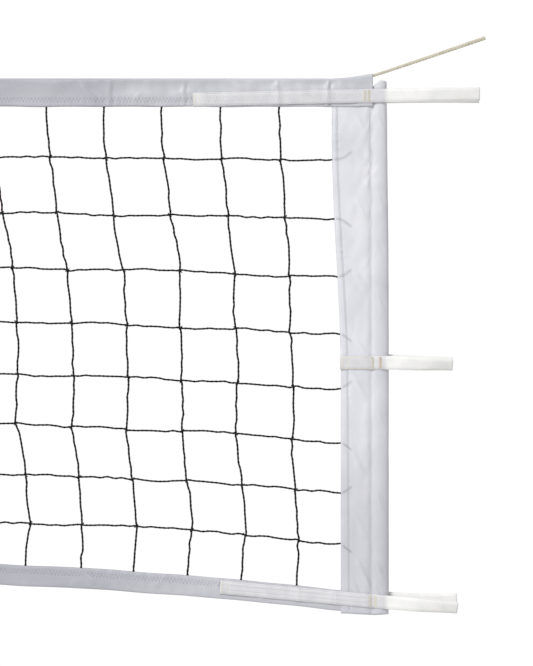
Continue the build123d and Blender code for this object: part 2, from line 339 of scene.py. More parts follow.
side_folds = (
    ((0.060, 0.062), (0.034, 0.110), 0.0045, 0.0012),
    ((0.072, 0.120), (0.040, 0.150), 0.0040, 0.0009),
    ((0.058, 0.215), (0.034, 0.275), 0.0050, 0.0010),
    ((0.066, 0.345), (0.036, 0.395), 0.0050, 0.0009),
    ((0.064, 0.470), (0.036, 0.512), 0.0040, 0.0010),
    ((0.066, 0.542), (0.034, 0.600), 0.0045, 0.0011),
    ((0.070, 0.668), (0.040, 0.742), 0.0050, 0.0010),
    ((0.062, 0.800), (0.036, 0.850), 0.0045, 0.0009),
    ((0.058, 0.884), (0.022, 0.958), 0.0045, 0.0018),
    ((0.066, 0.908), (0.040, 0.962), 0.0035, -0.0010),
    ((0.020, 0.060), (0.006, 0.098), 0.0035, 0.0020),
    ((0.019, 0.205), (0.005, 0.250), 0.0030, 0.0018),
    ((0.016, 0.300), (0.006, 0.322), 0.0025, -0.0016),
    ((0.020, 0.385), (0.006, 0.440), 0.0030, 0.0018),
    ((0.018, 0.610), (0.006, 0.640), 0.0035, 0.0016),
    ((0.020, 0.760), (0.008, 0.800), 0.0030, 0.0018),
    ((0.024, 0.880), (0.006, 0.930), 0.0035, 0.0024),
    ((0.018, 0.930), (0.004, 0.972), 0.0030, -0.0018),
)

# The side band's section, from its front inner edge round the dowel pocket to its back inner edge:
# distance from the net's end, and Y.
side_section = (
    (0.1010, -0.0013), (0.0985, -0.0022), (0.0820, -0.0024), (0.0640, -0.0024), (0.0480, -0.0024),
    (0.0380, -0.0024), (0.0338, -0.0018), (0.0305, -0.0004), (0.0280, 0.0008), (0.0252, 0.0006),
    (0.0215, -0.0008), (0.0170, -0.0021), (0.0095, -0.0020), (0.0045, -0.0001), (0.0012, 0.0038),
    (0.0001, 0.0086), (0.0024, 0.0143), (0.0084, 0.0167), (0.0141, 0.0143), (0.0172, 0.0092),
    (0.0205, 0.0052), (0.0245, 0.0026), (0.0285, 0.0028), (0.0330, 0.0046), (0.0400, 0.0054),
    (0.0600, 0.0055), (0.0820, 0.0055), (0.0985, 0.0053), (0.1010, 0.0044),
)


# Camera

view_centre = (4.655, -0.466)
view_height = 1.229
camera_distance = 5.0
sensor_height = 24.0
far_limit = 500.0

camera_data = bpy.data.cameras.new("camera")
camera_data.sensor_fit = "VERTICAL"
camera_data.sensor_height = sensor_height
camera_data.lens = sensor_height * camera_distance / view_height
camera_data.clip_end = far_limit
camera = bpy.data.objects.new("camera", camera_data)
camera.location = (view_centre[0], -camera_distance, view_centre[1])
camera.rotation_euler = (math.pi / 2, 0, 0)
bpy.context.scene.collection.objects.link(camera)
bpy.context.scene.camera = camera


# Shapes that everything else uses


def level(depth):
    """Height of a line that lies this far below the net's top edge."""
    return top_edge - depth


def smoothstep(value, low, high):
    """0 below low, 1 above high, and a smooth rise between them."""
    share = np.clip((np.asarray(value, float) - low) / (high - low), 0, 1)
    return share * share * (3 - 2 * share)


def fades(value, start, end):
    """1 below start, 0 above end, and a smooth fall between them."""
    return 1 - smoothstep(value, start, end)


def bump(value, centre, width):
    """A soft hump, 1 at its centre."""
    return np.exp(-(((value - centre) / width) ** 2))


def waves(x, z, seed, length, height):
    """Uneven soft ripples: a few sine waves of about this length, in directions of their own."""
    draw = random.Random(seed)
    count = 6
    total = np.zeros(np.broadcast(x, z).shape)
    for _ in range(count):
        heading = draw.uniform(0, 2 * math.pi)
        share_of_length = draw.uniform(0.6, 1.7)
        stretch = 2 * math.pi / (length * share_of_length)
        phase = draw.uniform(0, 2 * math.pi)
        total = total + np.sin((x * math.cos(heading) + z * math.sin(heading)) * stretch + phase)
    return height * total / math.sqrt(count)


def ridge(x, z, start, end, width, height):
    """A fold from start to end, highest half way and gone at both."""
    run = np.subtract(end, start)
    along = ((x - start[0]) * run[0] + (z - start[1]) * run[1]) / (run @ run)
    nearest = np.clip(along, 0, 1)
    away = np.hypot(x - start[0] - nearest * run[0], z - start[1] - nearest * run[1])
    return height * bump(away, 0, width) * np.sin(math.pi * nearest)


def reading(line, place):
    """What a line of points, each a place and a value, reads at this place."""
    places, values = zip(*line)
    return np.interp(place, places, values)


def smooth_line(points, count):
    """Evenly spaced points along a smooth curve through the given ones, a Catmull-Rom spline."""
    points = np.array(points, float)
    ends = np.vstack([2 * points[0] - points[1], points, 2 * points[-1] - points[-2]])
    steps_between = 24
    share = np.linspace(0, 1, steps_between, endpoint=False)[:, None]
    pieces = []
    for before, start, end, after in zip(ends, ends[1:], ends[2:], ends[3:]):
        straight = 2 * start + (end - before) * share
        bend = (2 * before - 5 * start + 4 * end - after) * share**2
        turn = (3 * start - before - 3 * end + after) * share**3
        pieces.append(0.5 * (straight + bend + turn))
    line = np.vstack(pieces + [points[-1:]])
    return even_line(line, count)


def even_line(line, count):
    """The same line with this many evenly spaced points."""
    travelled = np.concatenate([[0], np.cumsum(np.linalg.norm(np.diff(line, axis=0), axis=1))])
    wanted = np.linspace(0, travelled[-1], count)
    return np.stack([np.interp(wanted, travelled, line[:, axis]) for axis in range(line.shape[1])], 1)


def unit(vectors):
    """The same vectors, each of length 1."""
    return vectors / np.linalg.norm(vectors, axis=1, keepdims=True)


def bent_grid(along, across, place, size):
    """A grid of faces bent to shape. place gives the points for steps along and across it, size is
    its flat size, kept in the UV map in metres. Edges that come to lie on each other are merged."""
    work = bmesh.new()
    flat = work.loops.layers.uv.new("UVMap")
    bmesh.ops.create_grid(work, x_segments=along, y_segments=across, size=0.5, calc_uvs=True)
    spots = np.array([vert.co[:2] for vert in work.verts]) + 0.5
    steps = np.rint(spots * (along, across)).astype(int)
    for vert, point in zip(work.verts, place(steps[:, 0], steps[:, 1])):
        vert.co = point
    for face in work.faces:
        face.smooth = True
        for loop in face.loops:
            loop[flat].uv = (loop[flat].uv[0] * size[0], loop[flat].uv[1] * size[1])
    bmesh.ops.remove_doubles(work, verts=work.verts, dist=1e-6)
    bmesh.ops.recalc_face_normals(work, faces=work.faces)
    return work


def finished(name, parts, material, body="net", replaces=()):
    """One piece made of these parts, riding on a body."""
    whole = bmesh.new()
    for part in parts:
        passing = bpy.data.meshes.new("passing")
        part.to_mesh(passing)
        part.free()
        whole.from_mesh(passing)
        bpy.data.meshes.remove(passing)
    mesh = bpy.data.meshes.new(name)
    whole.to_mesh(mesh)
    whole.free()
    piece = bpy.data.objects.new(name, mesh)
    piece.data.materials.append(material)
    bpy.context.scene.collection.objects.link(piece)
    if body:
        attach(piece, body)
    if replaces:
        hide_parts(*replaces)
    return piece


def tube(path, radius, sides, turns=0.0, lobe=0.0, reference=(0, 1, 0)):
    """A tube with closed ends along a path. Its section may have two lobes, turned evenly along it."""
    path = np.array(path, float)
    tangent = unit(np.gradient(path, axis=0))
    side = unit(np.cross(tangent, reference))
    up = np.cross(side, tangent)
    rings = np.clip(np.arange(len(path) + 2) - 1, 0, len(path) - 1)
    reach = np.broadcast_to(radius, len(path))[rings].copy()
    reach[[0, -1]] = 0
    turn = np.linspace(0, 2 * math.pi * turns, len(path))

    def place(ring, corner):
        at = rings[ring]
        angle = 2 * math.pi * (corner % sides) / sides
        out = reach[ring] * (1 + lobe * np.cos(2 * angle))
        turned = angle + turn[at]
        sideways = (out * np.cos(turned))[:, None] * side[at]
        upwards = (out * np.sin(turned))[:, None] * up[at]
        return path[at] + sideways + upwards

    length = np.linalg.norm(np.diff(path, axis=0), axis=1).sum()
    return bent_grid(len(rings) - 1, sides, place, (length, 2 * math.pi * float(np.mean(reach))))


# Materials


def colour(code):
    """Linear RGBA from an sRGB hex code."""
    channels = [int(code[place:place + 2], 16) / 255 for place in (1, 3, 5)]
    linear = [c / 12.92 if c <= 0.04045 else ((c + 0.055) / 1.055) ** 2.4 for c in channels]
    return (*linear, 1.0)


def add(tree, kind, values=None, links=None, **settings):
    """One node with its settings, its input values and what is linked to its inputs."""
    node = tree.nodes.new(kind)
    for setting, value in settings.items():
        setattr(node, setting, value)
    for socket, value in (values or {}).items():
        node.inputs[socket].default_value = value
    for socket, source in (links or {}).items():
        tree.links.new(source, node.inputs[socket])
    return node


def wave_scale(spacing):
    """Scale at which a wave texture's bands lie this far apart: it has 20 radians to each unit."""
    return 2 * math.pi / (20 * spacing)


def new_material(name, **values):
    """A material with one Principled shader, and its node tree and shader."""
    material = bpy.data.materials.new(name)
    material.use_nodes = True
    tree = material.node_tree
    shader = tree.nodes["Principled BSDF"]
    for socket, value in values.items():
        shader.inputs[socket.replace("_", " ")].default_value = value
    return material, tree, shader


def coated_polyester():
    """Polyester fabric coated with soft white PVC: satin, cool white, with a faint weave under the
    coating. Whatever lies behind it, twine, rope or dowel, shows through as a grey shade; the same grey
    also carries stains, a darkening towards the side bands' feet, and painted shade where the lamp's
    light falls off towards the middle of the net."""
    material, tree, shader = new_material("white_pvc_coated_polyester", IOR=1.52, Roughness=0.42,
                                          Coat_Weight=0.12, Coat_Roughness=0.3)
    where = add(tree, "ShaderNodeTexCoord")
    # handling marks and uneven coating, 70 mm across
    cloud = add(tree, "ShaderNodeTexNoise", {"Scale": 14.0, "Detail": 3.0, "Roughness": 0.55},
                {"Vector": where.outputs["Object"]})
    tint = add(tree, "ShaderNodeValToRGB", links={"Fac": cloud.outputs["Fac"]})
    tint.color_ramp.elements[0].position = 0.3
    tint.color_ramp.elements[0].color = colour("#dadbe1")
    tint.color_ramp.elements[1].position = 0.72
    tint.color_ramp.elements[1].color = colour("#e8e8ee")
    # the grey mixed in: show-through, stains and painted shade, as each point's attribute gives them
    behind = add(tree, "ShaderNodeAttribute", attribute_name="show_through_stains_and_painted_shade")
    shaded = add(tree, "ShaderNodeMix", {"B": colour("#9c9ca6")},
                 {"Factor": behind.outputs["Fac"], "A": tint.outputs["Color"]}, data_type="RGBA")
    tree.links.new(shaded.outputs["Result"], shader.inputs["Base Color"])
    # threads of the base cloth, 0.5 mm apart, drawn 3 mm apart so that they show
    weave = []
    for direction in ("X", "Z"):
        weave.append(add(tree, "ShaderNodeTexWave", {"Scale": wave_scale(0.0030), "Distortion": 0.3},
                         {"Vector": where.outputs["Object"]}, bands_direction=direction))
    crossed = add(tree, "ShaderNodeMath", links={0: weave[0].outputs["Fac"], 1: weave[1].outputs["Fac"]},
                  operation="MULTIPLY")
    # a dull, slightly crumpled coating, in patches 6 mm across
    crumple = add(tree, "ShaderNodeTexNoise", {"Scale": 160.0, "Detail": 4.0},
                  {"Vector": where.outputs["Object"]})
    fine = add(tree, "ShaderNodeBump", {"Strength": 0.12, "Distance": 0.0002},
               {"Height": crossed.outputs["Value"]})
    both = add(tree, "ShaderNodeBump", {"Strength": 0.35, "Distance": 0.0006},
               {"Height": crumple.outputs["Fac"], "Normal": fine.outputs["Normal"]})
    tree.links.new(both.outputs["Normal"], shader.inputs["Normal"])
    return material


def woven_webbing():
    """Webbing woven from thin white polypropylene tape: light comes through it where it hangs free,
    so its tails are nearly white, and where it is sewn down the band's cool grey shows through."""
    material, tree, shader = new_material("white_woven_polypropylene", IOR=1.49, Roughness=0.5,
                                          Sheen_Weight=0.15)
    flat = add(tree, "ShaderNodeUVMap", uv_map="UVMap")
    where = add(tree, "ShaderNodeTexCoord")
    # ribs 1.8 mm apart across the webbing, and its cords 2.4 mm apart along it
    ribs = add(tree, "ShaderNodeTexWave", {"Scale": wave_scale(0.0018), "Distortion": 0.6},
               {"Vector": flat.outputs["UV"]}, bands_direction="X")
    cords = add(tree, "ShaderNodeTexWave", {"Scale": wave_scale(0.0024), "Distortion": 0.4},
                {"Vector": flat.outputs["UV"]}, bands_direction="Y")
    woven = add(tree, "ShaderNodeMath", links={0: ribs.outputs["Fac"], 1: cords.outputs["Fac"]},
                operation="MULTIPLY")
    # handling marks, 20 mm across
    uneven_tone = add(tree, "ShaderNodeTexNoise", {"Scale": 45.0, "Detail": 3.0},
               {"Vector": where.outputs["Object"]})
    blend = add(tree, "ShaderNodeMath", {1: 0.35}, {0: woven.outputs["Value"], 2: uneven_tone.outputs["Fac"]},
                operation="MULTIPLY_ADD")
    tint = add(tree, "ShaderNodeValToRGB", links={"Fac": blend.outputs["Value"]})
    tint.color_ramp.elements[0].position = 0.3
    tint.color_ramp.elements[0].color = colour("#e9e9e8")
    tint.color_ramp.elements[1].position = 0.85
    tint.color_ramp.elements[1].color = colour("#f8f7f5")
    backed = add(tree, "ShaderNodeAttribute", attribute_name="backed")
    sewn = add(tree, "ShaderNodeMix", {"B": colour("#e5e5ea")},
               {"Factor": backed.outputs["Fac"], "A": tint.outputs["Color"]}, data_type="RGBA",
               blend_type="MULTIPLY")
    tree.links.new(sewn.outputs["Result"], shader.inputs["Base Color"])
    raised = add(tree, "ShaderNodeBump", {"Strength": 0.5, "Distance": 0.0003},
                 {"Height": woven.outputs["Value"]})
    tree.links.new(raised.outputs["Normal"], shader.inputs["Normal"])
    return material


def twisted_nylon():
    """Black nylon twine: near black, with a dull shine on each turn of the twist."""
    material, tree, shader = new_material("black_twisted_nylon", IOR=1.53, Roughness=0.75,
                                          Specular_IOR_Level=0.3)
    flat = add(tree, "ShaderNodeUVMap", uv_map="UVMap")
    where = add(tree, "ShaderNodeTexCoord")
    # fibres run slantwise round the twine, one bundle every 1.2 mm
    slant = add(tree, "ShaderNodeMapping", {"Rotation": (0, 0, math.radians(32))},
                {"Vector": flat.outputs["UV"]})
    fibres = add(tree, "ShaderNodeTexWave", {"Scale": wave_scale(0.0012), "Distortion": 1.5},
                 {"Vector": slant.outputs["Vector"]}, bands_direction="X")
    # dust in patches 14 mm across
    dust = add(tree, "ShaderNodeTexNoise", {"Scale": 70.0, "Detail": 3.0},
               {"Vector": where.outputs["Object"]})
    mixed = add(tree, "ShaderNodeMath", {1: 0.4}, {0: fibres.outputs["Fac"], 2: dust.outputs["Fac"]},
                operation="MULTIPLY_ADD")
    tint = add(tree, "ShaderNodeValToRGB", links={"Fac": mixed.outputs["Value"]})
    tint.color_ramp.elements[0].position = 0.35
    tint.color_ramp.elements[0].color = colour("#050506")
    tint.color_ramp.elements[1].position = 0.95
    tint.color_ramp.elements[1].color = colour("#161516")
    tree.links.new(tint.outputs["Color"], shader.inputs["Base Color"])
    raised = add(tree, "ShaderNodeBump", {"Strength": 0.6, "Distance": 0.0003},
                 {"Height": fibres.outputs["Fac"]})
    tree.links.new(raised.outputs["Normal"], shader.inputs["Normal"])
    return material


def laid_rope():
    """Undyed three-strand rope: matt straw-white fibre, darker between its yarns."""
    material, tree, shader = new_material("undyed_laid_polypropylene_rope", IOR=1.49, Roughness=0.72,
                                          Sheen_Weight=0.25)
    flat = add(tree, "ShaderNodeUVMap", uv_map="UVMap")
    where = add(tree, "ShaderNodeTexCoord")
    # yarns 0.9 mm apart, lying against the lay of the strands
    slant = add(tree, "ShaderNodeMapping", {"Rotation": (0, 0, math.radians(-28))},
                {"Vector": flat.outputs["UV"]})
    yarns = add(tree, "ShaderNodeTexWave", {"Scale": wave_scale(0.0009), "Distortion": 1.2},
                {"Vector": slant.outputs["Vector"]}, bands_direction="Y")
    # soiled patches 17 mm across
    soil = add(tree, "ShaderNodeTexNoise", {"Scale": 60.0, "Detail": 3.0},
               {"Vector": where.outputs["Object"]})
    mixed = add(tree, "ShaderNodeMath", {1: 0.45}, {0: yarns.outputs["Fac"], 2: soil.outputs["Fac"]},
                operation="MULTIPLY_ADD")
    tint = add(tree, "ShaderNodeValToRGB", links={"Fac": mixed.outputs["Value"]})
    tint.color_ramp.elements[0].position = 0.35
    tint.color_ramp.elements[0].color = colour("#b9b199")
    tint.color_ramp.elements[1].position = 0.9
    tint.color_ramp.elements[1].color = colour("#e0dac8")
    tree.links.new(tint.outputs["Color"], shader.inputs["Base Color"])
    raised = add(tree, "ShaderNodeBump", {"Strength": 0.6, "Distance": 0.0003},
                 {"Height": yarns.outputs["Fac"]})
    tree.links.new(raised.outputs["Normal"], shader.inputs["Normal"])
    return material


def sewing_thread(name, dark, light):
    """Spun polyester sewing thread: matt, two close tones where its plies cross."""
    material, tree, shader = new_material(name, IOR=1.54, Roughness=0.6, Sheen_Weight=0.2)
    flat = add(tree, "ShaderNodeUVMap", uv_map="UVMap")
    # plies cross every 1.6 mm; a diagonal wave's bands lie twice as far apart
    plies = add(tree, "ShaderNodeTexWave", {"Scale": 2 * wave_scale(0.0016), "Distortion": 0.5},
                {"Vector": flat.outputs["UV"]}, bands_direction="DIAGONAL")
    tint = add(tree, "ShaderNodeValToRGB", links={"Fac": plies.outputs["Fac"]})
    tint.color_ramp.elements[0].color = colour(dark)
    tint.color_ramp.elements[1].color = colour(light)
    tree.links.new(tint.outputs["Color"], shader.inputs["Base Color"])
    return material


def sanded_birch():
    """Birch dowel, turned and sanded, unfinished: pale, matt, with long faint grain."""
    material, tree, shader = new_material("sanded_birch", IOR=1.5, Roughness=0.65)
    where = add(tree, "ShaderNodeTexCoord")
    # grain lines 2 mm wide and about 60 mm long
    drawn = add(tree, "ShaderNodeMapping", {"Scale": (1.0, 1.0, 0.03)},
                {"Vector": where.outputs["Object"]})
    grain = add(tree, "ShaderNodeTexNoise", {"Scale": 500.0, "Detail": 4.0, "Distortion": 0.4},
                {"Vector": drawn.outputs["Vector"]})
    tint = add(tree, "ShaderNodeValToRGB", links={"Fac": grain.outputs["Fac"]})
    tint.color_ramp.elements[0].position = 0.3
    tint.color_ramp.elements[0].color = colour("#b9946a")
    tint.color_ramp.elements[1].position = 0.7
    tint.color_ramp.elements[1].color = colour("#dcc09a")
    tree.links.new(tint.outputs["Color"], shader.inputs["Base Color"])
    raised = add(tree, "ShaderNodeBump", {"Strength": 0.2, "Distance": 0.0002},
                 {"Height": grain.outputs["Fac"]})
    tree.links.new(raised.outputs["Normal"], shader.inputs["Normal"])
    return material


band_cloth = coated_polyester()
webbing = woven_webbing()
twine = twisted_nylon()
rope_fibre = laid_rope()
# white thread painted grey: painted shade of the stitches sunk into the bands
thread_in_painted_shade = sewing_thread("white_thread_painted_grey_for_shade", "#a6a7b2", "#c8c9d2")
white_thread = sewing_thread("white_polyester_thread", "#c9cad2", "#ececf0")
cream_thread = sewing_thread("cream_polyester_thread", "#e0d6b6", "#f4edd6")
tan_thread = sewing_thread("tan_polyester_thread", "#d8b088", "#f0d3b4")
dowel_wood = sanded_birch()


# Headline rope's free ends, three strands laid round each other


def curve_points(name, route):
    """Points along one smooth open curve with these route points."""
    data = bpy.data.curves.new(name, "CURVE")
    data.dimensions = "3D"
    data.resolution_u = 64
    spline = data.splines.new("NURBS")
    spline.points.add(len(route) - 1)
    for point, place in zip(spline.points, route):
        point.co = (*place, 1.0)
    spline.order_u = 3
    spline.use_endpoint_u = True
    guide = bpy.data.objects.new(name, data)
    line = bpy.data.meshes.new_from_object(guide)
    points = np.array([vert.co[:] for vert in line.vertices])
    bpy.data.objects.remove(guide)
    bpy.data.meshes.remove(line)
    return points


def make_rope_tail(side):
    """One free end of the headline rope, in place of its CAD part."""
    route = [(side * x, y, z) for x, y, z in rope_route]
    line = curve_points("rope_line", route)
    centre = even_line(line, round(rope_tail_length / rope_ring_step))
    tangent = unit(np.gradient(centre, axis=0))
    across = unit(np.cross(tangent, (0, 1, 0)))
    up = np.cross(across, tangent)
    share = np.linspace(0, 1, len(centre))
    radius = rope_diameter / 2 * (rope_pulled_thin + (rope_opened_out - rope_pulled_thin) * share)
    reach = strand_reach * radius
    strands = []
    for number in range(strand_count):
        angle = 2 * math.pi * (share * rope_tail_length / rope_lay + number / strand_count)
        sideways = (reach * np.cos(angle))[:, None] * across
        upwards = (reach * np.sin(angle))[:, None] * up
        strands.append(tube(centre + sideways + upwards, strand_radius * radius, strand_sides))
    name = side_names[side]
    piece = finished(f"rope_tail_{name}", strands, rope_fibre,
                     replaces=(f"headline_tail_{name}",))


for side in side_names:
    make_rope_tail(side)


# Mesh


def drop_at(x):
    """How far the net's foot has come down here; its corners hang lowest."""
    distance = selvage_x - np.abs(x)
    return corner_drop * np.clip(1 - distance / corner_curve, 0, 1) ** 2


def row_level(row, x):
    """Height of a row of the mesh; row 0 is the top selvage."""
    middle = level(selvage_depth + first_row_step * row - row_step_loss * row**2)
    return middle - drop_at(x) * row / mesh_rows


def lean_at(distance):
    """How far a column's top stands further from the net's end than its foot does."""
    return (lean_at_end + lean_growth * distance) * np.exp(-((distance / lean_fade) ** 3))


def lay_out_crossings():
    """X and Z where each column crosses each row, with the play that a hand-knotted mesh has."""
    draw = np.random.default_rng(crossing_seed)
    numbers = np.arange(mesh_columns + 1)[:, None]
    rows = np.arange(mesh_rows + 1)[None, :]
    plain = selvage_x - numbers * mesh_pitch
    lean = lean_at(selvage_x - np.abs(plain)) * (abs(plain) < selvage_x - mesh_pitch / 2)
    x = plain - np.sign(plain) * lean * np.array(column_sway)[None, :]
    inside = (rows > 0) & (rows < mesh_rows) & (numbers > 0) & (numbers < mesh_columns)
    x = x + inside * draw.uniform(-crossing_play, crossing_play, x.shape)
    z = row_level(rows, x) + inside * draw.uniform(-crossing_play, crossing_play, x.shape)
    return x, z


crossing_x, crossing_z = lay_out_crossings()


def wander(count, every, height, seed):
    """A smooth random line: 0 on average, changing direction about this often in its steps."""
    draw = np.random.default_rng(seed)
    knots = draw.uniform(-height, height, int(count / every) + 3)
    places = np.linspace(0, len(knots) - 1.001, count)
    low = places.astype(int)
    share = places - low
    share = share * share * (3 - 2 * share)
    return knots[low] * (1 - share) + knots[low + 1] * share


def strung(knots, across, run, seed):
    """A cord's sideways line along run, through these knots, a little bowed between them and
    stepped to one side where it passes through the other cord."""
    draw = np.random.default_rng(seed)
    order = np.argsort(knots)
    knots, across = knots[order], across[order]
    cell = np.clip(np.searchsorted(knots, run) - 1, 0, len(knots) - 2)
    share = np.clip((run - knots[cell]) / (knots[cell + 1] - knots[cell]), 0, 1)
    bow = draw.uniform(-cord_bow, cord_bow, len(knots))
    step = draw.choice((-1.0, 1.0), len(knots)) * draw.uniform(*knot_step, len(knots))
    line = np.interp(run, knots, across) + bow[cell] * np.sin(math.pi * share)
    for knot in (cell, cell + 1):
        away = (run - knots[knot]) / knot_reach
        line = line + step[knot] * np.tanh(away) * np.exp(-np.abs(away) / knot_fade)
    return line, np.abs(np.sin(math.pi * share))


def cord_turns(length):
    """Turns of the twist in this length of twine."""
    return length / twine_lay


def crossing_wrap(x, z, leaning):
    """The short slanting turn of twine that locks one crossing, from behind to the front and back."""
    behind, beside, in_front = wrap_layers
    half_turn = ((1.0, 1.0, behind), (1.0, 0.9, beside), (0.4, 0.3, in_front))
    lower = [(x - leaning * wrap_reach * aside, y, z - wrap_reach * down) for aside, down, y in half_turn]
    upper = [(x + leaning * wrap_reach * aside, y, z + wrap_reach * up)
             for aside, up, y in half_turn[::-1]]
    return tube(lower + upper, wrap_radius, 5, reference=(1, 0.2, -leaning))


def make_row(row):
    """One cord along the net, with a turn of twine round it at each column. The first and the last
    are the selvages, hidden in the bands."""
    end = selvage_x + cord_overrun
    count = round(2 * end / twine_step)
    x = np.linspace(-end, end, count)
    z, slack = strung(crossing_x[:, row], crossing_z[:, row], x, row_bow_seed + row)
    in_sight = 0 < row < mesh_rows
    if in_sight:
        z = z + wander(count, wander_steps, cord_wander, row_wander_seed + row)
    y = row_y + cord_drawn_in * slack
    radius = twine_radius if in_sight else selvage_radius
    parts = [tube(np.stack([x, y, z], 1), radius, twine_sides, cord_turns(2 * end), twine_lobe)]
    if in_sight:
        draw = random.Random(wrap_seed + row)
        for number in range(1, mesh_columns):
            spot = (crossing_x[number, row], crossing_z[number, row])
            parts.append(crossing_wrap(*spot, draw.choice((-1, 1))))
    node = {0: "top_selvage", mesh_rows: "bottom_selvage"}.get(row, f"net_row_{row}")
    finished(f"{node}_twine", parts, twine, replaces=(node,))


def column(number):
    """One vertical cord, from the top selvage to the bottom one."""
    head = crossing_z[number, 0] + cord_overrun
    foot = crossing_z[number, mesh_rows] - cord_overrun
    count = round((head - foot) / twine_step)
    z = np.linspace(foot, head, count)
    x, slack = strung(crossing_z[number], crossing_x[number], z, column_bow_seed + number)
    x = x + wander(count, wander_steps, cord_wander, column_wander_seed + number)
    y = column_y - cord_drawn_in * slack
    radius = column_radius if 0 < number < mesh_columns else selvage_radius
    return tube(np.stack([x, y, z], 1), radius, twine_sides, cord_turns(head - foot), twine_lobe)


def make_mesh():
    """All rows, the columns in groups, and the two side selvages."""
    for row in range(mesh_rows + 1):
        make_row(row)
    inner = range(1, mesh_columns)
    size = math.ceil(len(inner) / column_groups)
    for group in range(column_groups):
        members = inner[group * size:(group + 1) * size]
        node = f"net_columns_{group + 1}"
        finished(f"{node}_twine", [column(number) for number in members], twine,
                 replaces=(node,))
    for side, name in side_names.items():
        edge = column(0 if side > 0 else mesh_columns)
        node = f"side_selvage_{name}"
        finished(f"{node}_twine", [edge], twine, replaces=(node,))


make_mesh()


# Bands. Each is one strip of coated fabric; its folds are heights over the plain shape,
# given from the net's end and down from its top edge.


def folded(from_end, depth, folds):
    """The heights of these folds, added up."""
    return fold_strength * sum(ridge(from_end, depth, *fold) for fold in folds)


def rope_lift(x):
    """How far the rope has lifted the top band's upper edge here."""
    past = np.abs(x) - (half_length - top_band_from_end - rise_length)
    easing = rise_easing * rise_length
    slope = rope_rise / rise_length
    eased = (past + easing) ** 2 / (4 * easing)
    return slope * np.where(past < -easing, 0, np.where(past < easing, eased, past))


def stations(end, fine, coarse):
    """Places along a band: close together near the net's ends, further apart between."""
    near = end - fine_reach
    right = np.linspace(near, end, round(fine_reach / fine) + 1)
    middle = np.linspace(-near, near, round(2 * near / coarse) + 1)
    return np.concatenate([-right[::-1], middle[1:-1], right])


def fine_detail(x):
    """1 near the ends, where a band's faces are small enough for it, and 0 between."""
    return fades(half_length - np.abs(x), *fine_fade)


def seam_relief(along, drift_across, off_seam, seed, pull, groove, strength=1.0):
    """Height of a seam's groove and of the small puckers along it, given the distance off it."""
    drift = waves(along, drift_across, seed, **pucker_drift)
    puckers = strength * pull[0] * np.sin(along * 2 * math.pi / pucker_pitch + drift)
    return puckers * bump(off_seam, 0, pull[1]) - groove[0] * bump(off_seam, 0, groove[1])


def top_relief(x, depth):
    """Height of the top band's folds, puckers and seam over its plain front."""
    from_end = half_length - np.abs(x)
    height = waves(x, depth * 2, **top_ripples)
    height = height + fine_detail(x) * waves(x, depth, **top_fine_ripples)
    height = height + folded(from_end, depth, top_folds)
    for place, tall, width in top_creases:
        phase = depth * 2 * math.pi / crease_wander_length + place * crease_phase
        line = place + crease_wander * np.sin(phase)
        height = height - crease_valley * tall * bump(from_end, line, width)
        beside = line + ridge_beside * width
        height = height + crease_ridge * tall * bump(from_end, beside, ridge_width * width)
    off_seam = depth - top_seam_depth
    height = height + seam_relief(x, depth, off_seam, **top_puckers, strength=fine_detail(x))
    above, over_mesh, over_side_band = top_sinks
    on_side_band = smoothstep(depth, *side_band_under_top_band) * fades(from_end, *side_band_front_ends)
    lowest = (above - over_mesh) * smoothstep(depth, *mesh_under_top_band) - above
    return np.maximum(height, lowest + (over_mesh - over_side_band) * on_side_band)


def top_front(x, depth):
    """Y of the top band's front face."""
    return reading(top_front_line, depth) - smoothstep(depth, *top_relief_starts) * top_relief(x, depth)


def top_back(x, depth):
    """Y of the top band's back face, pushed out where the side band is tucked in."""
    from_end = half_length - np.abs(x)
    over_side_band = smoothstep(depth, *side_band_back_head) * fades(from_end, *side_band_back_ends)
    relief = np.maximum(top_relief(-x, depth), -back_sinks)
    plain = reading(top_back_line, depth) + overlap_bulge * over_side_band
    return plain + smoothstep(depth, *top_relief_starts) * relief


def fold_rows(height, radius, flat_count, round_count):
    """The rows of points round a folded band, from its front foot over the fold to its back foot:
    each one's depth from the fold, its Y on a round fold, and -1 in front, 0 on the fold, 1 behind."""
    flat = np.linspace(height, radius, flat_count)
    angles = np.linspace(0, math.pi, round_count)[1:-1]
    depth = np.concatenate([flat, radius * (1 - np.sin(angles)), flat[::-1]])
    fold_y = np.concatenate([np.full(flat_count, -radius), -radius * np.cos(angles),
                             np.full(flat_count, radius)])
    kind = np.array([-1] * flat_count + [0] * (round_count - 2) + [1] * flat_count)
    return depth, fold_y, kind


def cloth(name, work, node, behind):
    """One band: the bent grid given its thickness, in place of the CAD strip it was cut from. behind
    gives each point's grey, 0 to 1: a dark thing behind the cloth, stains, and painted shade."""
    piece = finished(name, [work], band_cloth, replaces=(node,))
    attribute = piece.data.attributes.new("show_through_stains_and_painted_shade", "FLOAT", "POINT")
    places = np.array([vert.co[:] for vert in piece.data.vertices])
    attribute.data.foreach_set("value", behind(*places.T).astype(np.float32))
    wall = piece.modifiers.new("thickness", "SOLIDIFY")
    wall.thickness = skin
    wall.offset = -1
    return piece


def grey_with_painted_falloff(from_end, near, far):
    """An even grey on a band near its end, darkened towards the middle of the net by painted shade where
    the lamp's light falls off.
    """
    return near + (far - near) * smoothstep(from_end, *painted_falloff_fade)


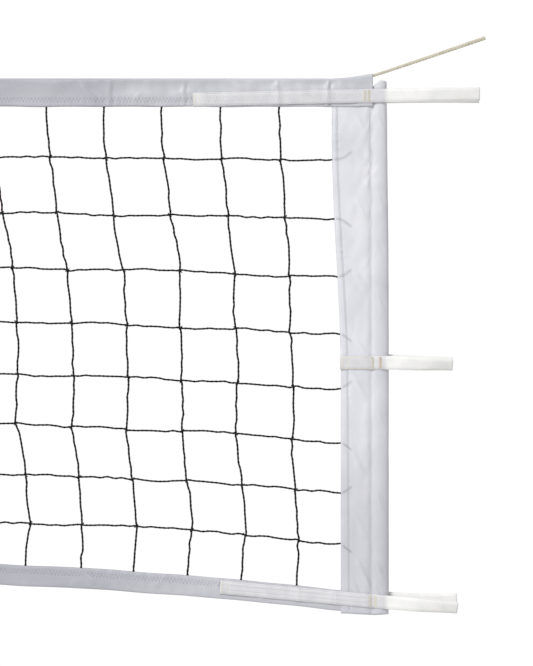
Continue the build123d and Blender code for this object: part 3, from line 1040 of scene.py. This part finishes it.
def make_top_band():
    """The top band, folded over the rope and lifted by it at both ends."""
    along = stations(half_length - top_band_from_end, *top_steps)
    depths, fold_y, kinds = fold_rows(top_band_height, top_fold_radius, *top_rows)
    sharpest = top_creases[0][0]

    def place(step, row):
        x, depth, kind = along[step], depths[row], kinds[row]
        y = np.where(kind < 0, top_front(x, depth), np.where(kind > 0, top_back(x, depth), fold_y[row]))
        notch = crease_notch * bump(half_length - np.abs(x), sharpest, top_notch_width)
        notch = notch * fades(depth, *top_relief_starts)
        z = level(depth) + rope_lift(x) * (1 - depth / top_band_height) - notch
        uneven = waves(x, 0 * x, **top_edge_ripples) * depth / top_band_height
        return np.stack([x, y, z + uneven], 1)

    width = 2 * (top_band_height - top_fold_radius) + math.pi * top_fold_radius
    length = 2 * (half_length - top_band_from_end)
    work = bent_grid(len(along) - 1, len(depths) - 1, place, (length, width))

    def behind(x, y, z):
        over_rope = rope_shade * bump(top_edge - z, rope_shade_depth, rope_shade_depth)
        # painted shade growing towards the middle of the net, stains, and the rope's shade
        return grey_with_painted_falloff(half_length - np.abs(x), *top_grey_and_painted_falloff) + waves(x, z, **top_stains) + over_rope

    cloth("top_band_cloth", work, "top_band", behind)


def bottom_foot(x):
    """Height of the bottom band's lower edge."""
    return level(bottom_band_lowest) + corner_drop - drop_at(x)


def bottom_relief(x, height):
    """Height of the bottom band's folds over its plain front, given the height over its foot."""
    from_end = half_length - np.abs(x)
    total = waves(x, height * 2, **bottom_ripples)
    total = total + fine_detail(x) * waves(x, height, **bottom_fine_ripples)
    total = total + folded(from_end, height, bottom_folds)
    off_seam = height - bottom_seam_height
    total = total + seam_relief(x, height, off_seam, **bottom_puckers, strength=fine_detail(x))
    return total * smoothstep(from_end, *bottom_relief_from_end)


def bottom_front(x, height):
    """Y of the bottom band's front face, at this height over its foot."""
    relief = np.maximum(bottom_relief(x, height), -bottom_sinks)
    return reading(bottom_front_line, height) - smoothstep(height, *bottom_relief_starts) * relief


def make_bottom_band():
    """The bottom band, folded under the mesh; it follows the net's foot down to its corners."""
    along = stations(half_length - bottom_band_tucked, *bottom_steps)
    heights, fold_y, kinds = fold_rows(bottom_band_height, bottom_fold_radius, *bottom_rows)

    def place(step, row):
        x, height, kind = along[step], heights[row], kinds[row]
        relief = np.maximum(bottom_relief(-x, height), -back_sinks)
        back = bottom_back_y + smoothstep(height, *bottom_relief_starts) * relief
        fold = bottom_fold_y + fold_y[row]
        y = np.where(kind < 0, bottom_front(x, height), np.where(kind > 0, back, fold))
        uneven = waves(x, 0 * x, **bottom_edge_ripples)
        uneven = uneven * smoothstep(half_length - np.abs(x), *bottom_edge_from_end)
        return np.stack([x, y, bottom_foot(x) + height + uneven], 1)

    width = 2 * (bottom_band_height - bottom_fold_radius) + math.pi * bottom_fold_radius
    length = 2 * (half_length - bottom_band_tucked)
    work = bent_grid(len(along) - 1, len(heights) - 1, place, (length, width))

    def behind(x, y, z):
        # painted shade growing towards the middle of the net, and stains
        return grey_with_painted_falloff(half_length - np.abs(x), *bottom_grey_and_painted_falloff) + waves(x, z, **bottom_stains)

    cloth("bottom_band_cloth", work, "bottom_band", behind)


section_line = smooth_line(side_section, side_rows)
section_tangent = unit(np.gradient(section_line, axis=0))
section_out = np.stack([section_tangent[:, 1], section_tangent[:, 0]], 1)
section_front = np.arange(side_rows) < np.argmin(section_line[:, 0])


def side_inner(depth):
    """The side band's inner edge, from the net's end; the band is narrower in its lower half."""
    return side_inner_top + (side_inner_bottom - side_inner_top) * smoothstep(depth, *side_narrows)


def clear_of_top_band(from_end, depth):
    """0 where the side band's flat part lies under the top band, 1 elsewhere."""
    return 1 - smoothstep(from_end, *side_flat_starts) * fades(depth, *side_under_top_band)


def side_relief(from_end, depth):
    """Height of the side band's folds, seams and of the twine behind it over its plain front."""
    height = waves(from_end * 2, depth, **side_ripples) + waves(from_end, depth, **side_fine_ripples)
    height = height + folded(from_end, depth, side_folds)
    height = height + twine_shade_ridge * twine_shade(from_end, depth)
    height = height + seam_relief(depth, depth, from_end - side_seam(depth), **side_puckers)
    drift = waves(depth, depth, **pocket_swell_drift)
    swells = pocket_swell_height * np.sin(depth * 2 * math.pi / pocket_swell_pitch + drift)
    swells = swells * (pocket_swell_least + bump(depth, *pocket_swell_top))
    height = height + swells * sum(bump(from_end, *spot) for spot in pocket_swell_places)
    calm = pocket_calm + (1 - pocket_calm) * smoothstep(from_end, *pocket_calm_fade)
    calm = calm * clear_of_top_band(from_end, depth)
    sinks, sinks_over_mesh, rises = side_relief_limits
    lowest = (sinks - sinks_over_mesh) * smoothstep(from_end, *over_the_mesh) - sinks
    return np.clip(height * calm, lowest, rises)


def side_seam(depth):
    """The side band's zigzag seam, from the net's end."""
    return side_inner(depth) - np.interp(depth, (0, bottom_band_lowest), side_seam_inset)


def twine_shade(from_end, depth):
    """Where the rows' ends lie right behind the side band's front, 0 to 1."""
    from_selvage = half_length - selvage_x
    shade = 0.0
    for row in range(1, mesh_rows):
        line = top_edge - row_level(row, half_length - from_end)
        past = (from_selvage + row_end_hook_starts - from_end) / row_end_hook_length
        hook = row_end_hook * np.clip(past, 0, 1) ** 2 * (-1) ** row
        shade = shade + bump(depth, line + hook, twine_shade_width) * smoothstep(from_end, *row_ends_seen)
    return np.clip(shade, 0, 1) * smoothstep(side_inner(depth) - from_end, *row_shade_stops)


def side_front(from_end, depth):
    """Y of the side band's front face, given the distance from the net's end."""
    front = section_line[section_front]
    plain = np.interp(-from_end, -front[:, 0], front[:, 1])
    return plain - foot_bulge(from_end, depth) - side_relief(from_end, depth)


def foot_bulge(from_end, depth):
    """How far the side band stands out over the bottom band that is tucked into it."""
    return overlap_bulge * smoothstep(depth, *foot_overlap) * smoothstep(from_end, *foot_overlap_inner)


def side_head():
    """Depth of the side band's upper edge, for each row of its section."""
    middle, slope, least = pocket_head
    open_end = middle + slope * ((section_line[:, 0] - pocket_from_end) / pocket_from_end) ** 2
    head = np.where(section_line[:, 0] > side_flat_part, side_band_head, open_end)
    return np.clip(head, least, side_band_head)


def side_place(side):
    """The function that gives one side band's points."""
    head = side_head()
    foot = reading(side_foot, section_line[:, 0])

    def place(step, row):
        from_end, y = section_line[row].T
        depth = head[row] + (foot[row] - head[row]) * step / side_steps
        wide = np.clip((from_end - side_narrow_part) / (side_inner_top - side_narrow_part), 0, 1)
        from_end = from_end - wide * (side_inner_top - side_inner(depth))
        back_relief = back_relief_share * side_relief(from_end, depth + back_relief_shift)
        back_relief = back_relief * clear_of_top_band(from_end, depth)
        front = section_front[row]
        relief = np.where(front, side_relief(from_end, depth), back_relief)
        drift = waves(depth, depth, **pocket_edge_drift)
        weave = pocket_edge_weave * np.sin(depth * 2 * math.pi / pocket_edge_pitch + drift)
        weave = weave * bump(from_end, pocket_seam, pocket_edge_width)
        weave = weave * (pocket_edge_least + bump(depth, *pocket_edge_top))
        slack = sleeve_slack * smoothstep(depth, *sleeve_slack_grows) * fades(from_end, 0, pocket_from_end)
        out = section_out[row]
        y = y + out[:, 1] * relief + np.where(front, -1, 1) * foot_bulge(from_end, depth)
        closing = foot_closed * smoothstep(depth - foot[row], -foot_closing, 0.0)
        y = foot_middle_y + (y - foot_middle_y) * (1 - closing)
        x = half_length - from_end - weave + slack + out[:, 0] * relief
        return np.stack([side * x, y, level(depth)], 1)

    return place


def make_side_bands():
    """Both side bands, each with its dowel pocket."""
    width = np.linalg.norm(np.diff(section_line, axis=0), axis=1).sum()
    length = bottom_band_lowest

    def behind(x, y, z):
        from_end = half_length - np.abs(x)
        in_pocket = pocket_shade[0] + pocket_shade[1] * bump(z, *pocket_shade_middle)
        in_pocket = in_pocket * fades(from_end, 0.020, 0.026)
        # grey over the whole side band, darker towards its foot
        uneven_tone = side_darkening[0] + side_darkening[1] * smoothstep(-z, *side_darkening_fade)
        over_twine = twine_shade_strength * twine_shade(from_end, top_edge - z) * (y < 0)
        return over_twine + in_pocket + uneven_tone

    for side, name in side_names.items():
        work = bent_grid(side_steps, side_rows - 1, side_place(side), (length, width))
        cloth(f"side_band_cloth_{name}", work, f"side_band_{name}", behind)


make_top_band()
make_bottom_band()
make_side_bands()


# Ties: each is one length of webbing, sewn to the net and free past the dowel pocket


def ribbon(middle, across, normal, width, thickness):
    """A flat strap with rounded edges and closed ends along its middle line."""
    half_section = ((-0.5, 0.0), (-0.485, -0.42), (-0.24, -0.5), (0.0, -0.5), (0.24, -0.5), (0.485, -0.42))
    other_half = tuple((-wide, -thick) for wide, thick in half_section)
    corners = np.array(half_section + other_half + half_section[:1])
    rings = np.clip(np.arange(len(middle) + 2) - 1, 0, len(middle) - 1)
    open_ring = np.ones(len(rings))
    open_ring[[0, -1]] = 0

    def place(ring, corner):
        at, size = rings[ring], open_ring[ring]
        wide = size * corners[corner, 0] * width
        thick = size * corners[corner, 1] * thickness[at]
        return middle[at] + wide[:, None] * across[at] + thick[:, None] * normal[at]

    length = np.linalg.norm(np.diff(middle, axis=0), axis=1).sum()
    return bent_grid(len(rings) - 1, len(corners) - 1, place, (length, 2 * width))


def front_under(height, from_end, depth):
    """Y of whatever the front strap at this height lies on. It goes straight over the gap beside
    the dowel pocket, and straight on past the net's end."""
    if height == "top":
        return top_front(half_length - np.maximum(from_end, strap_bridges_top), depth)
    on_side = side_front(np.maximum(from_end, strap_bridges_side), depth)
    if height == "middle":
        return on_side
    x = half_length - from_end
    over_foot = level(depth) - bottom_foot(x)
    return np.where(from_end > side_inner(depth), bottom_front(x, over_foot), on_side)


def strap_depth(tie, from_end):
    """Depth of a strap's middle along its whole length, tail included."""
    places = (-hinge_past_end - tie["tail"], -hinge_past_end, tie["start"])
    return np.interp(from_end, places, tie["depths"][::-1])


def settled(values, window):
    """Values smoothed over this many neighbours, their ends held."""
    padded_values = np.concatenate([np.full(window, values[0]), values, np.full(window, values[-1])])
    return np.convolve(padded_values, np.ones(window) / window, "same")[window:-window]


def strap_line(height, tie, face):
    """From the sewn end to the tail's end: distance from the net's end, Y, depth."""
    tail_end = -hinge_past_end - tie["tail"]
    count = round((tie["start"] - tail_end) / strap_step)
    from_end = np.linspace(tie["start"], tail_end, count)
    depth = strap_depth(tie, from_end)
    past_hinge = np.clip((-hinge_past_end - from_end) / tie["tail"], 0, 1)
    curl = tail_curl * np.sin(past_hinge * math.pi * tail_waves) * past_hinge
    if face == "front":
        under = np.min([front_under(height, from_end, depth + off) for off in strap_reach_across], 0)
        y = np.minimum(settled(under, front_settling), under) - webbing_thickness / 2 - strap_gap
        return from_end, y - curl, depth
    y = settled(reading(back_route, from_end), back_settling)
    y = y + back_strap_gap * (from_end > back_strap_starts)
    lift = np.interp(from_end, (tail_end, 0.0), tie["back_lift"][::-1])
    rise = lift * smoothstep(-from_end, *back_lift_between) + tie["back_end"] * past_hinge**2
    return from_end, y + curl, depth - rise


strap_lines = {}


def make_tie(height, tie, face, side):
    """One strap with its tail, bending past the net's end."""
    from_end, y, depth = strap_line(height, tie, face)
    strap_lines[height, face] = (from_end, y, depth)
    middle = np.stack([side * (half_length - from_end), y, level(depth)], 1)
    tangent = unit(np.gradient(middle, axis=0))
    upright = np.array([0.0, 0.0, 1.0])
    most = math.radians(tie["twist"] if face == "front" else back_twist)
    twist = most * smoothstep(-from_end, twist_starts, twist_starts + tie["tail"])
    across = unit(upright - (tangent @ upright)[:, None] * tangent)
    normal = np.cross(tangent, across)
    across = np.cos(twist)[:, None] * across + np.sin(twist)[:, None] * normal
    normal = np.cross(tangent, across)
    under_from = tie["start"] - under_end["length"]
    doubled = 1 + under_end["thicker"] * smoothstep(from_end, under_from, under_from + under_end["fade"])
    strap = ribbon(middle, across, normal, webbing_width, webbing_thickness * doubled)
    name = side_names[side]
    sewn = f"tie_{height}_{face}_{name}"
    tail = f"tie_{height}_{face}_tail_{name}"
    piece = finished(f"webbing_{height}_{face}_{name}", [strap], webbing, body=None,
                     replaces=(sewn, tail))
    backed = piece.data.attributes.new("backed", "FLOAT", "POINT")
    reach = np.abs(np.array([vert.co.x for vert in piece.data.vertices])) - half_length
    backed.data.foreach_set("value", fades(reach, *backed_until).astype(np.float32))
    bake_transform(piece)


def make_ties():
    """Three ties at each end of the net, each with a front and a back strap."""
    for height, tie in ties.items():
        for face in ("front", "back"):
            for side in side_names:
                make_tie(height, tie, face, side)


make_ties()


# Sewing


forwards, backwards = (0, -1, 0), (0, 1, 0)


def seam_thread(points, outward, radius=thread_radius):
    """A thread along these points, sunk a little into a surface that faces this way."""
    lifted = np.array(points) + np.array(outward) * radius * 0.6
    return tube(lifted, radius, 4, reference=outward)


def zigzag(run, low, high, pitch):
    """Places of a zigzag's points: along its run, and across between low and high."""
    count = max(2, round(abs(run[1] - run[0]) / pitch * 4))
    along = np.linspace(run[0], run[1], count + 1)
    phase = np.arange(count + 1) % 4
    across = np.choose(phase, (0.0, 0.5, 1.0, 0.5))
    return along, low + (high - low) * across


def band_seams():
    """The zigzag seams of the four bands on the front, and the top band's also on the back."""
    half = zigzag_height / 2
    end = half_length - top_seam_ends
    x, depth = zigzag((-end, end), top_seam_depth - half, top_seam_depth + half, zigzag_pitch)
    front = np.stack([x, top_front(x, depth), level(depth)], 1)
    back = np.stack([x, top_back(x, depth), level(depth)], 1)
    parts = [seam_thread(front, forwards), seam_thread(back, backwards)]
    # the bands' seams use the grey thread: painted shade of their sunk stitches
    finished("top_band_seam", parts, thread_in_painted_shade)
    end = half_length - bottom_seam_ends
    x, height = zigzag((-end, end), bottom_seam_height - half, bottom_seam_height + half, zigzag_pitch)
    front = np.stack([x, bottom_front(x, height), bottom_foot(x) + height], 1)
    finished("bottom_band_seam", [seam_thread(front, forwards)], thread_in_painted_shade)
    half = side_zigzag_height / 2
    depth, off_seam = zigzag(side_seam_run, -half, half, side_zigzag_pitch)
    from_end = side_seam(depth) + off_seam
    y = side_front(from_end, depth)
    for side, name in side_names.items():
        front = np.stack([side * (half_length - from_end), y, level(depth)], 1)
        finished(f"side_band_seam_{name}", [seam_thread(front, forwards)], thread_in_painted_shade)


def strap_seam(height, side, from_end, off_middle, dips=False):
    """Points on a front strap's face, this far from the net's end and below the strap's middle."""
    places, y, depth = strap_lines[height, "front"]
    face_y = np.interp(-from_end, -places, y) - webbing_thickness / 2
    stitch = np.abs(np.sin(from_end * math.pi / running_stitch)) if dips else 1.0
    z = level(np.interp(-from_end, -places, depth) + off_middle)
    return np.stack([side * (half_length - from_end), face_y + stitch_dip * (1 - stitch), z], 1)


def edge_seams(height, tie, side, edge):
    """The two running seams along a front strap's edges."""
    start = tie["start"] - 0.003
    run = np.linspace(start, edge_seam_ends, round((start - edge_seam_ends) / stitch_step))
    radius = doubled_thread_radius if height == "middle" else thread_radius
    material = cream_thread if height == "middle" else white_thread
    seams = [seam_thread(strap_seam(height, side, run, offset, dips=True), forwards, radius)
             for offset in (-edge, edge)]
    finished(f"tie_edge_seams_{height}_{side_names[side]}", seams, material)
    return run


def seams_over_strap(height, tie, side, run):
    """A band's own seam, where it is sewn over the strap."""
    name = f"band_seam_over_tie_{height}_{side_names[side]}"
    if height == "top":
        inner, outer = band_seam_over_strap
        along, across = zigzag((tie["start"] - inner, outer), -band_seam_half, band_seam_half, zigzag_pitch)
        points = strap_seam(height, side, along, across)
        finished(name, [seam_thread(points, forwards, fine_thread_radius)], white_thread)
    if height == "bottom":
        # grey thread: painted shade of the stitches sunk into the strap
        lines = [seam_thread(strap_seam(height, side, run, offset, dips=True), forwards, fine_thread_radius)
                 for offset in bottom_band_seams]
        finished(name, lines, thread_in_painted_shade)


def box_stitch(height, tie, side, edge):
    """The stitches across a strap's sewn end."""
    lines = []
    for from_start in box_places:
        number = np.arange(box_points)
        uneven = 0.0003 * np.sin(number * 2.1)
        offset = np.linspace(-edge, edge, box_points)
        points = strap_seam(height, side, tie["start"] - from_start + uneven, offset)
        points[:, 1] += stitch_dip * (number % 4 == 0)
        lines.append(seam_thread(points, forwards, doubled_thread_radius))
    return lines


def bartacks(height, side, edge):
    """The dense zigzags across a strap, beside the dowel pocket."""
    tacks = []
    for middle in bartack_places[height]:
        down, along = zigzag((-edge, edge), middle - bartack_half, middle + bartack_half, bartack_pitch)
        points = strap_seam(height, side, along, down)
        tacks.append(seam_thread(points, forwards, doubled_thread_radius))
    return tacks


def strap_sewing(height, tie, side):
    """All the sewing on a front strap."""
    name = f"{height}_{side_names[side]}"
    edge = webbing_width / 2 - edge_seam_inset
    run = edge_seams(height, tie, side, edge)
    boxes = box_stitch(height, tie, side, edge)
    seams_over_strap(height, tie, side, run)
    tacks = bartacks(height, side, edge)
    if height == "middle":
        finished(f"tie_outer_bartack_{name}", [tacks.pop()], tan_thread)
    finished(f"tie_box_stitch_{name}", boxes, cream_thread)
    finished(f"tie_bartack_{name}", tacks, cream_thread)


def make_sewing():
    """The bands' seams, then the sewing on each front strap."""
    band_seams()
    for height, tie in ties.items():
        for side in side_names:
            strap_sewing(height, tie, side)


make_sewing()


# Kept CAD nodes take better materials

for node, material in (("headline_rope", rope_fibre), ("dowel_right", dowel_wood),
                       ("dowel_left", dowel_wood)):
    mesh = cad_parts[node].data
    mesh.materials.clear()
    mesh.materials.append(material)


# Floor, light and background

floor_level = -2.43                            # a net hung at its regulation height
floor_size = (26.0, 20.0)


def make_floor():
    """A matt white floor, far enough below the net to be out of the main view."""
    work = bmesh.new()
    bmesh.ops.create_grid(work, x_segments=1, y_segments=1, size=0.5)
    bmesh.ops.scale(work, verts=work.verts, vec=(*floor_size, 1))
    bmesh.ops.translate(work, verts=work.verts, vec=(0, 0, floor_level))
    mesh = bpy.data.meshes.new("floor")
    work.to_mesh(mesh)
    work.free()
    floor = bpy.data.objects.new("floor", mesh)
    material, _, shader = new_material("matt_white_floor_paint", Roughness=0.8)
    shader.inputs["Base Color"].default_value = colour("#f4f4f2")
    mesh.materials.append(material)
    bpy.context.scene.collection.objects.link(floor)


def make_light():
    """A large soft lamp from the upper left, in a white studio that is brightest behind the net."""
    lamp = bpy.data.lights.new("key", "SUN")
    lamp.energy = 2.2
    lamp.angle = math.radians(25)
    holder = bpy.data.objects.new("key", lamp)
    holder.rotation_euler = (math.radians(53), 0, math.radians(-30))
    bpy.context.scene.collection.objects.link(holder)
    world = bpy.data.worlds.new("studio")
    bpy.context.scene.world = world
    world.use_nodes = True
    tree = world.node_tree
    background = tree.nodes["Background"]
    where = add(tree, "ShaderNodeTexCoord")
    parts = add(tree, "ShaderNodeSeparateXYZ", links={"Vector": where.outputs["Generated"]})
    strength = add(tree, "ShaderNodeMapRange",
                   {"From Min": 0.80, "From Max": 0.97, "To Min": 0.42, "To Max": 1.02},
                   {"Value": parts.outputs["Y"]}, interpolation_type="SMOOTHSTEP")
    background.inputs["Color"].default_value = (1, 1, 1, 1)
    tree.links.new(strength.outputs["Result"], background.inputs["Strength"])


make_floor()
make_light()
bpy.context.scene.view_settings.view_transform = "Standard"
